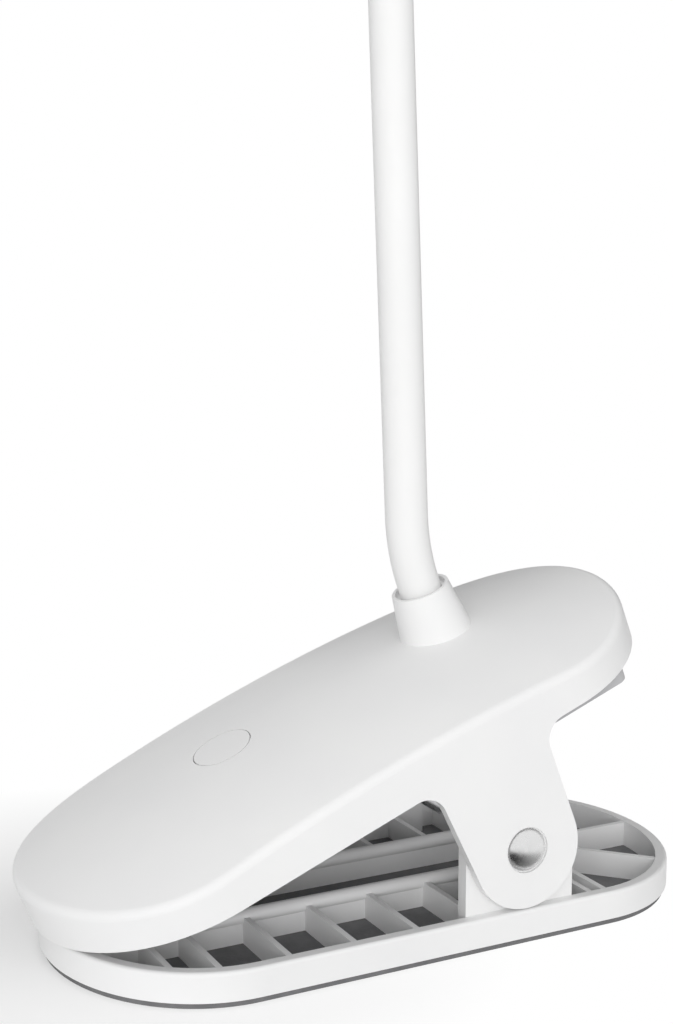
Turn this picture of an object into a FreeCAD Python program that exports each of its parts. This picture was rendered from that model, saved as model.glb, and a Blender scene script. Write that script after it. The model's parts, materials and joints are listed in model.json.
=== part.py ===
import FreeCAD, Part
import math
import os

from FreeCAD import Vector

# Clip-on lamp: a spring clip that stands on its lower jaw, a battery housing as the upper jaw,
# a press button, and a gooseneck that carries an LED bar.
# Frame: +Z up, origin at the middle of the foot pad's underside, +X towards the hinge and the handles,
# -X towards the tip of the jaws. Lengths are in millimetres.

# Clearances
OVERRUN = 1.0
SEAT_GAP = 0.2
MOVE_GAP = 0.3
RUNNING_FIT = 0.05

# Outline that both jaws share, straight sides with half-ellipse ends
JAW_LENGTH = 137.0
JAW_WIDTH = 67.0
JAW_END = 29.7

# Lower jaw
PAD_HEIGHT = 1.2
PAD_INSET = 0.6
RIM_HEIGHT = 5.7
RIM_WALL = 2.4
RIM_ROUND = 0.7
RIB_WALL = 1.2
RIB_STEP = 0.4
RIB_FIRST_X = -5.2
RIB_PITCH = 13.4
RIB_COUNT_FRONT = 4
RIB_COUNT_REAR = 3
TIP_RIB_X = -53.5
RAIL_OFFSET = 9.6
RAIL_WALL = 2.0
RAIL_STEP = 0.6
BEAD_RADIUS = 1.5
BEAD_START_X = -57.0
FAN_X = 38.5
FAN_ANGLES = (-47.0, 0.0, 47.0)
SPRING_SEAT_LENGTH = 10.0

# Hinge
PIVOT_X = 17.7
EAR_RADIUS = 11.8
EAR_WALL = 2.2
EAR_LIFT = 0.4
EAR_FILLET = 4.7
EAR_FLARE_ANGLE = 5.0
BRACKET_HALF = 12.4
BRACKET_WALL = 2.8
PIN_RADIUS = 2.5
CAP_RADIUS = 4.3
CAP_HEIGHT = 2.5
CAP_GRIP = 1.0
CAP_SINK = 0.5
GUSSET_WALL = 1.6

# Torsion spring
WIRE_RADIUS = 0.8
COIL_GAP = 0.5
COIL_PITCH = 2.6
SPRING_TURNS = 4
SPRING_SIDE = -19.0
UPPER_LEG_REACH = 9.0
LOWER_LEG_REACH = 16.5
COIL_STEP_ANGLE = 90.0

# Upper jaw, drawn in its own frame with the pivot at the origin
UPPER_SHIFT = -17.7
SKIRT_EDGE = 21.3
JAW_DEPTH = 14.8
CROWN_ACROSS = 100.0
CROWN_FALL = 5.5
CROWN_FILLET = 1.8
SHELL_WALL = 2.2
TIP_GAP = 0.4
COVER_RECESS = 1.9
COVER_WALL = 2.2
TUB_DROP = 3.7
TUB_INSET = 5.5
TUB_CORNER = 3.0
LIP_DROP = 3.0
LIP_LENGTH = 22.0

# Screws of the bottom cover
SCREW_RADIUS = 1.2
SCREW_LENGTH = 5.0
SCREW_HEAD_RADIUS = 2.2
SCREW_HEAD_HEIGHT = 1.1
SCREW_SLOT_WIDTH = 0.6
SCREW_SLOT_DEPTH = 0.6
BOSS_RADIUS = 2.7
FRONT_SCREW_X = -66.0
FRONT_SCREW_Y = 14.0
MIDDLE_SCREW_SETBACK = 8.0
MIDDLE_SCREW_Y = 21.0
REAR_SCREW_SETBACK = 11.8
REAR_SCREW_Y = 13.0

# Button and its switch
BUTTON_X = -39.6
BUTTON_RADIUS = 5.95
BUTTON_FLANGE = 1.3
BUTTON_FLANGE_WALL = 1.0
BUTTON_FLANGE_GAP = 0.7
BUTTON_STEM_RADIUS = 2.0
BUTTON_TRAVEL = 0.5
SWITCH_SIDE = 6.2
SWITCH_HEIGHT = 2.0
PLUNGER_RADIUS = 1.75
PLUNGER_RISE = 0.5

# Electronics
BOARD_LENGTH = 38.0
BOARD_WIDTH = 30.0
BOARD_WALL = 1.6
BOARD_LIFT = 1.0
BOARD_POST_RADIUS = 1.8
BOARD_POST_INSET = 3.2
CHIP_SIDE = 7.0
CHIP_HEIGHT = 1.0
COIL_SIDE = 5.6
COIL_HEIGHT = 2.2
BATTERY_LENGTH = 36.0
BATTERY_WIDTH = 44.0
BATTERY_HEIGHT = 4.6
BATTERY_FILLET = 1.6
BATTERY_REAR_ROOM = 17.8
BATTERY_FRONT_GAP = 2.8
BATTERY_REAR_GAP = 1.8
CHARGE_BOARD_LENGTH = 7.0
CHARGE_BOARD_WIDTH = 13.0
CHARGE_BOARD_WALL = 1.0
CHARGE_BOARD_SETBACK = 4.0
SOCKET_WIDTH = 8.9
SOCKET_HEIGHT = 3.2
SOCKET_LENGTH = 7.3
SOCKET_WALL = 0.4
SOCKET_RECESS = 0.6
TONGUE_WIDTH = 6.6
TONGUE_HEIGHT = 0.7
SOCKET_RISE = 0.3

# Gooseneck
NECK_X = 12.2
NECK_RADIUS = 4.4
CORE_RADIUS = 3.2
CORE_BORE = 2.0
COLLAR_RADIUS = 7.6
COLLAR_TOP_RADIUS = 6.1
COLLAR_HEIGHT = 10.0
COLLAR_RIM = 0.7
COLLAR_RECESS = 1.0
FERRULE_RISE = 4.5
FERRULE_SOCKET = 3.0
NUT_FLATS = 13.0
NUT_HEIGHT = 3.4
NUT_PAD_RADIUS = 9.5
NUT_PAD_HEIGHT = 1.0
NUT_TAIL = 1.0
NECK_LEAN = 2.4
ROOT_BEND = 48.0
JOINT_STARTS = (24.0, 79.0, 134.0)
CROOK_START = 158.0
CROOK_BEND = 45.0
HEAD_DROOP = 5.0

# LED head, drawn with its rear end at the origin and reaching towards -X
HEAD_LENGTH = 120.0
HEAD_WIDTH = 34.0
HEAD_HEIGHT = 11.0
HEAD_WALL = 1.8
HEAD_FILLET = 3.6
HEAD_SOLE_FILLET = 1.2
SOCKET_RADIUS = 6.6
SOCKET_INNER = 12.0
SOCKET_NOSE = 5.0
SLEEVE_GRIP = 3.0
CORE_GRIP = 11.0
WINDOW_START = 20.0
WINDOW_FRAME = 4.0
DIFFUSER_WALL = 1.8
DIFFUSER_LEDGE = 1.2
LED_BOARD_WALL = 1.2
LED_COUNT = 8
LED_ROWS = (-1, 1)
LED_ROW_OFFSET = 5.5
LED_LENGTH = 3.5
LED_WIDTH = 2.8
LED_HEIGHT = 0.8
GRUB_RADIUS = 1.5
GRUB_SLOT = 0.5
GRUB_PLACE = 4.0

# Worked-out heights and places
RIM_TOP = PAD_HEIGHT + RIM_HEIGHT
PIVOT_Z = RIM_TOP + EAR_LIFT + EAR_RADIUS
PIVOT = Vector(PIVOT_X, 0, PIVOT_Z)
JAW_HALF = JAW_WIDTH / 2
BRACKET_FACE = JAW_HALF - EAR_WALL - MOVE_GAP
TIP_U = JAW_LENGTH / 2 - UPPER_SHIFT
TIP_RADIUS = math.hypot(TIP_U, SKIRT_EDGE)
JAW_TILT = math.degrees(
    math.atan2(SKIRT_EDGE, TIP_U) + math.asin((PIVOT_Z - RIM_TOP - TIP_GAP) / TIP_RADIUS)
)
CROWN_TOP = SKIRT_EDGE + JAW_DEPTH
CROWN_ALONG = ((JAW_LENGTH / 2) ** 2 + CROWN_FALL**2) / (2 * CROWN_FALL)
REAR_END = UPPER_SHIFT + JAW_LENGTH / 2
COVER_LOW = SKIRT_EDGE + COVER_RECESS
COVER_TOP = COVER_LOW + COVER_WALL
TUB_LOW = SKIRT_EDGE - TUB_DROP
TUB_FLOOR = TUB_LOW + COVER_WALL
BOARD_TOP = COVER_TOP + BOARD_LIFT + BOARD_WALL
BATTERY_START = REAR_END - BATTERY_REAR_ROOM - BATTERY_LENGTH
TUB_FRONT = BATTERY_START - BATTERY_FRONT_GAP - COVER_WALL
TUB_REAR = BATTERY_START + BATTERY_LENGTH + BATTERY_REAR_GAP + COVER_WALL
MIDDLE_SCREW_X = TUB_FRONT - MIDDLE_SCREW_SETBACK
REAR_SCREW_X = REAR_END - REAR_SCREW_SETBACK
X_AXIS = Vector(1, 0, 0)
Y_AXIS = Vector(0, 1, 0)
Z_AXIS = Vector(0, 0, 1)


def box(x_range, y_range, z_range):
    """Box between the two ends of each range."""
    corner = Vector(x_range[0], y_range[0], z_range[0])
    return Part.makeBox(x_range[1] - x_range[0], y_range[1] - y_range[0], z_range[1] - z_range[0], corner)


def rod(radius, start, end):
    """Round rod from one point to another."""
    axis = end.sub(start)
    return Part.makeCylinder(radius, axis.Length, start, axis)


def upright(radius, x, y, low, high):
    """Round rod along Z."""
    return rod(radius, Vector(x, y, low), Vector(x, y, high))


def extruded(edges, direction):
    """Solid swept straight from a closed loop of edges."""
    return Part.Face(Part.Wire(edges)).extrude(direction)


def joined(shapes):
    """One shape fused from several, with the seams between flush faces taken out."""
    return shapes[0].multiFuse(shapes[1:]).removeSplitter()


def half_ellipse(centre, reach, half_width):
    """Half ellipse about a centre, from +Y through the end at reach along X to -Y."""
    side = centre.add(Vector(0, half_width, 0))
    end = centre.add(Vector(reach, 0, 0))
    if half_width >= abs(reach):
        return Part.ArcOfEllipse(Part.Ellipse(side, end, centre), 0, math.pi).toShape()
    return Part.ArcOfEllipse(Part.Ellipse(end, side, centre), -math.pi / 2, math.pi / 2).toShape()


def jaw_prism(inset, low, high, shift=0.0):
    """Upright prism of the jaw outline drawn in by inset."""
    straight = JAW_LENGTH / 2 - JAW_END
    half = JAW_HALF - inset
    reach = JAW_END - inset
    front = Vector(shift - straight, 0, low)
    rear = Vector(shift + straight, 0, low)
    side = Vector(0, half, 0)
    edges = [
        half_ellipse(rear, reach, half),
        Part.LineSegment(rear.sub(side), front.sub(side)).toShape(),
        half_ellipse(front, -reach, half),
        Part.LineSegment(front.add(side), rear.add(side)).toShape(),
    ]
    return extruded(Part.__sortEdges__(edges), Vector(0, 0, high - low))


def stadium_prism(x_range, half_width, low, high):
    """Upright prism with straight sides and round ends between two X places."""
    near = x_range[0] + half_width
    far = x_range[1] - half_width
    edges = [
        Part.LineSegment(Vector(near, -half_width, low), Vector(far, -half_width, low)).toShape(),
        Part.Arc(
            Vector(far, -half_width, low), Vector(x_range[1], 0, low), Vector(far, half_width, low)
        ).toShape(),
        Part.LineSegment(Vector(far, half_width, low), Vector(near, half_width, low)).toShape(),
        Part.Arc(
            Vector(near, half_width, low), Vector(x_range[0], 0, low), Vector(near, -half_width, low)
        ).toShape(),
    ]
    return extruded(edges, Vector(0, 0, high - low))


def edges_along(shape, axis):
    """Straight edges of a shape that run along an axis."""
    return [edge for edge in shape.Edges if edge.tangentAt(0).cross(axis).Length < RUNNING_FIT]


def edge_level(edge):
    """Level of a flat-lying edge, or None for an edge that climbs."""
    box_of_edge = edge.BoundBox
    return round(box_of_edge.ZMin, 6) if box_of_edge.ZLength < RUNNING_FIT else None


def on_upper_jaw(shape):
    """Shape drawn in the upper jaw's own frame, brought to the closed jaw."""
    placed = shape.copy()
    placed.rotate(Vector(), Y_AXIS, -JAW_TILT)
    placed.translate(PIVOT)
    return placed


# Lower jaw


def foot_pad():
    """Rubber sheet that the lamp stands on, and that floors the open cells of the frame."""
    return jaw_prism(PAD_INSET, 0, PAD_HEIGHT)


def rails():
    """Two rails along the jaw, joined by a half ring at the rear, each with a half-round bead on top."""
    low = PAD_HEIGHT
    top = RIM_TOP - RAIL_STEP
    centre = Vector(FAN_X, 0, low)
    turn = Vector(0, 0, 1)
    outer = Part.makeCylinder(RAIL_OFFSET + RAIL_WALL / 2, top - low, centre, turn, 180)
    inner = Part.makeCylinder(RAIL_OFFSET - RAIL_WALL / 2, top - low, centre, turn, 180)
    ring = outer.cut(inner)
    bead_ring = Part.makeTorus(RAIL_OFFSET, BEAD_RADIUS, Vector(FAN_X, 0, top), turn, 0, 360, 180)
    pieces = []
    for shape in (ring, bead_ring):
        shape.rotate(centre, turn, -90)
        pieces.append(shape)
    for side in (-1, 1):
        middle = side * RAIL_OFFSET
        wall = (middle - RAIL_WALL / 2, middle + RAIL_WALL / 2)
        pieces.append(box((-JAW_LENGTH / 2, FAN_X), wall, (low, top)))
        pieces.append(rod(BEAD_RADIUS, Vector(BEAD_START_X, middle, top), Vector(FAN_X, middle, top)))
    return pieces


def cross_ribs():
    """Thin ribs from the rails out to the rim on both sides, and the fan of ribs behind the rails."""
    low = PAD_HEIGHT
    top = RIM_TOP - RIB_STEP
    places = [RIB_FIRST_X - RIB_PITCH * k for k in range(RIB_COUNT_FRONT)]
    places += [RIB_FIRST_X + RIB_PITCH * (k + 1) for k in range(RIB_COUNT_REAR)]
    places += [TIP_RIB_X, FAN_X]
    ribs = []
    for x in places:
        for side in (-1, 1):
            across = sorted((side * RAIL_OFFSET, side * JAW_HALF))
            ribs.append(box((x - RIB_WALL / 2, x + RIB_WALL / 2), across, (low, top)))
    for angle in FAN_ANGLES:
        rib = box((RAIL_OFFSET, JAW_LENGTH / 2), (-RIB_WALL / 2, RIB_WALL / 2), (low, top))
        rib.rotate(Vector(), Z_AXIS, angle)
        rib.translate(Vector(FAN_X, 0, 0))
        ribs.append(rib)
    return ribs


def lug(half_width, low, y_range):
    """Plate square to Y that stands on a level and ends in a half circle about the pivot."""
    y = y_range[0]
    front = PIVOT_X - half_width
    rear = PIVOT_X + half_width
    crest = Vector(PIVOT_X, y, PIVOT_Z + half_width)
    edges = [
        Part.LineSegment(Vector(rear, y, low), Vector(rear, y, PIVOT_Z)).toShape(),
        Part.Arc(Vector(rear, y, PIVOT_Z), crest, Vector(front, y, PIVOT_Z)).toShape(),
        Part.LineSegment(Vector(front, y, PIVOT_Z), Vector(front, y, low)).toShape(),
        Part.LineSegment(Vector(front, y, low), Vector(rear, y, low)).toShape(),
    ]
    return extruded(edges, Vector(0, y_range[1] - y, 0))


def brackets():
    """Hinge plates just inside the ears of the upper jaw, each rooted in the rim."""
    pieces = []
    along = (PIVOT_X - BRACKET_HALF, PIVOT_X + BRACKET_HALF)
    for side in (-1, 1):
        inner = side * (BRACKET_FACE - BRACKET_WALL)
        pieces.append(lug(BRACKET_HALF, PAD_HEIGHT, sorted((inner, side * BRACKET_FACE))))
        root = sorted((inner, side * (JAW_HALF - RIM_WALL / 2)))
        pieces.append(box(along, root, (PAD_HEIGHT, RIM_TOP)))
    return pieces


def spring_seat():
    """Block beside the near rail, under the lower leg of the spring."""
    rear = PIVOT_X + LOWER_LEG_REACH + 2 * WIRE_RADIUS
    along = (rear - SPRING_SEAT_LENGTH, rear)
    return box(along, (SPRING_SIDE, -RAIL_OFFSET), (PAD_HEIGHT, RIM_TOP - RIB_STEP))


def lower_frame():
    """Moulded frame of the lower jaw: rim, ribs, rails and hinge brackets in one piece."""
    block = jaw_prism(0, PAD_HEIGHT, RIM_TOP)
    block = block.makeFillet(RIM_ROUND, [edge for edge in block.Edges if edge_level(edge) == round(RIM_TOP, 6)])
    rim = block.cut(jaw_prism(RIM_WALL, PAD_HEIGHT - OVERRUN, RIM_TOP + OVERRUN))
    crest = RIM_TOP + BEAD_RADIUS + OVERRUN
    inside = jaw_prism(RIM_WALL / 2, PAD_HEIGHT, crest)
    web = joined(rails() + cross_ribs() + [spring_seat()]).common(inside)
    frame = joined([rim, web] + brackets())
    half = Vector(0, JAW_HALF, 0)
    return frame.cut(rod(PIN_RADIUS + RUNNING_FIT, PIVOT.sub(half), PIVOT.add(half))).Solids[0]


# Hinge


def hinge_pin():
    """Steel pin through both brackets and both ears, gripped by a cap at each end."""
    reach = Vector(0, JAW_HALF - CAP_SINK + CAP_GRIP, 0)
    return rod(PIN_RADIUS, PIVOT.sub(reach), PIVOT.add(reach))


def rivet_caps():
    """Domed caps on the ends of the pin, one in the counterbore of each ear."""
    sphere_radius = (CAP_RADIUS**2 + CAP_HEIGHT**2) / (2 * CAP_HEIGHT)
    caps = []
    for side in (-1, 1):
        seat = PIVOT.add(Vector(0, side * (JAW_HALF - CAP_SINK + RUNNING_FIT), 0))
        outward = Vector(0, side * CAP_HEIGHT, 0)
        centre = seat.add(Vector(0, side * (CAP_HEIGHT - sphere_radius), 0))
        dome = Part.makeSphere(sphere_radius, centre).common(rod(CAP_RADIUS, seat, seat.add(outward)))
        grip = Vector(0, side * (CAP_GRIP + RUNNING_FIT), 0)
        caps.append(dome.cut(rod(PIN_RADIUS + RUNNING_FIT, seat.sub(grip), seat.add(grip))))
    return Part.makeCompound(caps)


def arc_to(start, tangent_point, end):
    """Arc that leaves start towards the tangent point and reaches end coming from it."""
    middle = start.add(end).multiply(0.5)
    half_chord = start.sub(middle).Length
    height = tangent_point.sub(middle).Length
    radius = half_chord * start.sub(tangent_point).Length / height
    bow = radius - math.sqrt(radius**2 - half_chord**2)
    crest = middle.add(tangent_point.sub(middle).multiply(bow / height))
    return Part.Arc(start, crest, end).toShape()


def biarc(start, start_way, end, end_way):
    """Two arcs that join two points and keep a given direction at each."""
    chord = end.sub(start)
    along = chord.dot(start_way.add(end_way))
    spread = 2 * (1 - start_way.dot(end_way))
    reach = (math.sqrt(along**2 + spread * chord.dot(chord)) - along) / spread
    first = start.add(Vector(start_way).multiply(reach))
    second = end.sub(Vector(end_way).multiply(reach))
    joint = first.add(second).multiply(0.5)
    return [arc_to(start, first, joint), arc_to(joint, second, end)]


def least_gap(path, width):
    """Least free distance between stretches of a tube that are more than a few widths apart along it."""
    length = path.Length
    count = int(length / (width / 2))
    points = []
    for edge in path.OrderedEdges:
        share = max(2, round(count * edge.Length / length))
        points += edge.discretize(Number=share + 1)[:-1]
    step = length / len(points)
    apart = int(math.pi * width / step)
    pairs = ((a, b) for a in range(len(points)) for b in range(a + apart, len(points)))
    return min(points[a].distanceToPoint(points[b]) for a, b in pairs) - width


def torsion_spring():
    """Spring wound round the pin, with one leg under the battery tub and one on the seat in the lower jaw."""
    radius = PIN_RADIUS + COIL_GAP + WIRE_RADIUS
    upper = Vector(UPPER_LEG_REACH, 0, TUB_LOW - SEAT_GAP - WIRE_RADIUS)
    low_end = RIM_TOP - RIB_STEP + SEAT_GAP + WIRE_RADIUS - PIVOT_Z
    lower = Vector(LOWER_LEG_REACH, 0, low_end)
    upper_angle = math.radians(JAW_TILT) + math.atan2(upper.z, upper.x)
    lower_angle = math.atan2(lower.z, lower.x)
    start = upper_angle + math.acos(radius / upper.Length)
    finish = lower_angle - math.acos(radius / lower.Length)
    sweep = (finish - start) % math.tau + math.tau * SPRING_TURNS
    rise = COIL_PITCH / math.tau
    steps = math.ceil(math.degrees(sweep) / COIL_STEP_ANGLE)
    half_length = rise * sweep / 2

    def place(step):
        angle = start + sweep * step / steps
        side = SPRING_SIDE + rise * sweep * step / steps - half_length
        return PIVOT.add(Vector(radius * math.cos(angle), side, radius * math.sin(angle)))

    def way(step):
        angle = start + sweep * step / steps
        climb = rise if 0 < step < steps else 0
        return Vector(-radius * math.sin(angle), climb, radius * math.cos(angle)).normalize()

    upper_end = place(0).sub(way(0).multiply(math.sqrt(upper.Length**2 - radius**2)))
    lower_end = place(steps).add(way(steps).multiply(math.sqrt(lower.Length**2 - radius**2)))
    edges = [Part.LineSegment(upper_end, place(0)).toShape()]
    for step in range(steps):
        edges += biarc(place(step), way(step), place(step + 1), way(step + 1))
    edges.append(Part.LineSegment(place(steps), lower_end).toShape())
    path = Part.Wire(edges)
    print("torsion spring: least gap to itself", round(least_gap(path, 2 * WIRE_RADIUS), 2))
    section = Part.Wire(Part.makeCircle(WIRE_RADIUS, upper_end, way(0)))
    spring = path.makePipeShell([section], True, False)
    swept = path.Length * math.pi * WIRE_RADIUS**2
    print("torsion spring: volume over section times length", round(spring.Volume / swept, 4))
    return spring


# Upper jaw, all drawn in its own frame


def crown(drop):
    """Barrel shape that limits the top of the upper jaw, lowered by drop."""
    centre = Vector(UPPER_SHIFT, 0, CROWN_TOP - CROWN_ALONG)
    return Part.makeTorus(CROWN_ALONG - CROWN_ACROSS, CROWN_ACROSS - drop, centre, Y_AXIS)


def crowned_body(inset, low):
    """Jaw outline from a level up to the crown."""
    return jaw_prism(inset, low, CROWN_TOP + OVERRUN, UPPER_SHIFT).common(crown(inset))


def outer_body():
    """Full outer form of the upper jaw above the edge of its skirt, with a rounded top edge."""
    body = crowned_body(0, SKIRT_EDGE)
    top = [face for face in body.Faces if isinstance(face.Surface, Part.Toroid)]
    return body.makeFillet(CROWN_FILLET, [edge for face in top for edge in face.Edges])


def ear_flank(way, flare, y):
    """Edge of an ear from its round end up to the skirt, with a hollow fillet, on the side way of the pivot."""
    cosine = math.cos(math.radians(flare))
    sine = math.sin(math.radians(flare))
    centre_z = SKIRT_EDGE - EAR_FILLET
    centre_x = (EAR_RADIUS + EAR_FILLET + centre_z * sine) / cosine
    slant = math.hypot(cosine, sine + 1)
    start = Vector(way * EAR_RADIUS * cosine, y, -EAR_RADIUS * sine)
    bend = Vector(way * (centre_x - EAR_FILLET * cosine), y, centre_z + EAR_FILLET * sine)
    hollow_x = centre_x - EAR_FILLET * cosine / slant
    hollow = Vector(way * hollow_x, y, centre_z + EAR_FILLET * (sine + 1) / slant)
    top = Vector(way * centre_x, y, SKIRT_EDGE)
    return start, top, [Part.LineSegment(start, bend).toShape(), Part.Arc(bend, hollow, top).toShape()]


def ear(side):
    """Hinge ear below the skirt: a round end about the pivot, a front edge that flares, hollow fillets above."""
    y = side * (JAW_HALF - EAR_WALL)
    front, front_top, front_edges = ear_flank(-1, EAR_FLARE_ANGLE, y)
    rear, rear_top, rear_edges = ear_flank(1, 0, y)
    up = Vector(0, 0, COVER_RECESS)
    root = [front_top, front_top.add(up), rear_top.add(up), rear_top]
    edges = [Part.Arc(front, Vector(0, y, -EAR_RADIUS), rear).toShape()] + front_edges + rear_edges
    edges += [Part.LineSegment(a, b).toShape() for a, b in zip(root, root[1:])]
    return extruded(Part.__sortEdges__(edges), Vector(0, side * EAR_WALL, 0))


def gusset(side):
    """Small web behind the front edge of an ear, short of the battery tub."""
    across = sorted((side * (JAW_HALF - TUB_INSET + SEAT_GAP), side * (JAW_HALF - EAR_WALL / 2)))
    along = (-EAR_RADIUS, GUSSET_WALL - EAR_RADIUS)
    return box(along, across, (SKIRT_EDGE - EAR_FILLET, COVER_LOW - SEAT_GAP))


def screw_places():
    """X and Y of each cover screw."""
    places = []
    for side in (-1, 1):
        places.append((FRONT_SCREW_X, side * FRONT_SCREW_Y))
        places.append((MIDDLE_SCREW_X, side * MIDDLE_SCREW_Y))
        places.append((REAR_SCREW_X, side * REAR_SCREW_Y))
    return places


def nut_seat():
    """Level of the flat pad under the crown that the neck nut pulls against."""
    drop = (NECK_X - UPPER_SHIFT) ** 2 / (2 * CROWN_ALONG)
    return CROWN_TOP - drop - SHELL_WALL - NUT_PAD_HEIGHT


def neck_foot():
    """Level of the crown at the neck, where the collar stands."""
    return nut_seat() + NUT_PAD_HEIGHT + SHELL_WALL


def collar_top():
    """Level of the top of the neck collar."""
    return neck_foot() + COLLAR_HEIGHT


def ferrule_top():
    """Level where the sleeve of the neck starts, inside the collar."""
    return neck_foot() + FERRULE_RISE


def socket_height():
    """Level of the middle of the charge socket."""
    return COVER_TOP + SOCKET_RISE + SOCKET_HEIGHT / 2


def socket_prism(grow, x_range):
    """Flat-sided oval of the charge socket, grown all round, along X."""
    half_height = SOCKET_HEIGHT / 2 + grow
    half_width = SOCKET_WIDTH / 2 + grow
    oval = stadium_prism((-half_width, half_width), half_height, 0, x_range[1] - x_range[0])
    oval.rotate(Vector(), Z_AXIS, 90)
    oval.rotate(Vector(), Y_AXIS, 90)
    oval.translate(Vector(x_range[0], 0, socket_height()))
    return oval


def upper_shell(outer):
    """Crowned housing with its skirt, hinge ears, screw bosses and holes for the button, neck and socket."""
    shell = outer.cut(crowned_body(SHELL_WALL, SKIRT_EDGE - OVERRUN))
    inner = [upright(BOSS_RADIUS, x, y, COVER_TOP, CROWN_TOP) for x, y in screw_places()]
    inner.append(upright(NUT_PAD_RADIUS, NECK_X, 0, nut_seat(), CROWN_TOP))
    inner = [shape.common(outer.fuse(jaw_prism(SHELL_WALL, 0, COVER_TOP, UPPER_SHIFT))) for shape in inner]
    outside = [ear(side) for side in (-1, 1)] + [gusset(side) for side in (-1, 1)]
    shell = joined([shell] + inner + outside)
    half = Vector(0, JAW_HALF + OVERRUN, 0)
    cuts = [rod(PIN_RADIUS + RUNNING_FIT, Vector().sub(half), half)]
    for side in (-1, 1):
        floor = Vector(0, side * (JAW_HALF - CAP_SINK), 0)
        cuts.append(rod(CAP_RADIUS + MOVE_GAP, floor, Vector(0, side * (JAW_HALF + OVERRUN), 0)))
    for x, y in screw_places():
        cuts.append(upright(SCREW_RADIUS + RUNNING_FIT, x, y, COVER_LOW, COVER_TOP + SCREW_LENGTH))
    top = CROWN_TOP + OVERRUN
    cuts.append(upright(BUTTON_RADIUS + SEAT_GAP, BUTTON_X, 0, COVER_TOP, top))
    cuts.append(upright(NECK_RADIUS + RUNNING_FIT, NECK_X, 0, COVER_TOP, top))
    inside = socket_mouth() - SOCKET_LENGTH - SEAT_GAP
    cuts.append(socket_prism(SEAT_GAP, (inside, REAR_END + OVERRUN)))
    return shell.cut(cuts).Solids[0]


def tub_block(front, wall, low, high):
    """Block as wide as the battery tub, with round corners, drawn in by a wall."""
    half = JAW_HALF - TUB_INSET - wall
    block = box((front + wall, TUB_REAR - wall), (-half, half), (low, high))
    return block.makeFillet(TUB_CORNER - wall, edges_along(block, Z_AXIS))


def lip():
    """Rim under the cover's plate that carries the walls of the tub on towards the tip."""
    front = TUB_FRONT - LIP_LENGTH
    low = SKIRT_EDGE - LIP_DROP
    block = tub_block(front, 0, low, COVER_TOP)
    return block.cut(tub_block(front, COVER_WALL, low - OVERRUN, COVER_TOP + OVERRUN))


def skirt_room():
    """Room that the housing's skirt takes round the walls of the tub, with a gap below it and inside it."""
    levels = (SKIRT_EDGE - SEAT_GAP, COVER_TOP + OVERRUN)
    outline = jaw_prism(-OVERRUN, *levels, UPPER_SHIFT)
    return outline.cut(jaw_prism(SHELL_WALL + MOVE_GAP, *levels, UPPER_SHIFT))


def bottom_cover():
    """Cover under the housing: a recessed plate, with a deeper tub for the battery and a pocket behind it."""
    plate = jaw_prism(SHELL_WALL + SEAT_GAP, COVER_LOW, COVER_TOP, UPPER_SHIFT)
    top = COVER_TOP + OVERRUN
    tub = tub_block(TUB_FRONT, 0, TUB_LOW, COVER_TOP)
    walls = lip().fuse(tub).cut(skirt_room())
    cover = plate.fuse(walls).cut(tub_block(TUB_FRONT, COVER_WALL, TUB_FLOOR, top))
    posts = [upright(BOARD_POST_RADIUS, x, y, COVER_LOW, COVER_TOP + BOARD_LIFT) for x, y in board_posts()]
    cover = joined([cover] + posts)
    board = charge_board().BoundBox
    across = board.YMax + SEAT_GAP
    pocket = box((board.XMin - SEAT_GAP, board.XMax + SEAT_GAP), (-across, across), (board.ZMin - SEAT_GAP, top))
    cuts = [pocket]
    for x, y in screw_places():
        below = COVER_LOW - OVERRUN
        cuts.append(upright(SCREW_RADIUS + RUNNING_FIT, x, y, below, top))
        cuts.append(upright(SCREW_HEAD_RADIUS + SEAT_GAP, x, y, below, COVER_LOW + SCREW_HEAD_HEIGHT))
    return cover.cut(cuts).Solids[0]


def cover_screws():
    """Screws with a cross slot that hold the cover to the bosses of the housing."""
    screws = []
    low = COVER_LOW
    for x, y in screw_places():
        head = upright(SCREW_HEAD_RADIUS, x, y, low, low + SCREW_HEAD_HEIGHT)
        screw = head.fuse(upright(SCREW_RADIUS, x, y, low, COVER_TOP + SCREW_LENGTH - OVERRUN))
        long = (-SCREW_HEAD_RADIUS / 2, SCREW_HEAD_RADIUS / 2)
        thin = (-SCREW_SLOT_WIDTH / 2, SCREW_SLOT_WIDTH / 2)
        for along, across in ((long, thin), (thin, long)):
            slot = box(along, across, (low - OVERRUN, low + SCREW_SLOT_DEPTH))
            slot.translate(Vector(x, y, 0))
            screw = screw.cut(slot)
        screws.append(screw.removeSplitter())
    return Part.makeCompound(screws)


def button_flange_top():
    """Level of the flange that keeps the button under the crown."""
    drop = (BUTTON_X - UPPER_SHIFT) ** 2 / (2 * CROWN_ALONG)
    return CROWN_TOP - drop - SHELL_WALL - BUTTON_FLANGE_GAP


def plunger_top():
    """Level of the top of the switch plunger."""
    return BOARD_TOP + SWITCH_HEIGHT + PLUNGER_RISE


def button_cap(outer):
    """Round button whose top continues the crown, with a flange below and a stem on the switch."""
    cap = upright(BUTTON_RADIUS, BUTTON_X, 0, button_flange_top(), CROWN_TOP + OVERRUN).common(outer)
    low = button_flange_top() - BUTTON_FLANGE_WALL
    flange = upright(BUTTON_RADIUS + BUTTON_FLANGE, BUTTON_X, 0, low, button_flange_top())
    stem = upright(BUTTON_STEM_RADIUS, BUTTON_X, 0, plunger_top(), low)
    return joined([cap, flange, stem])


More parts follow.
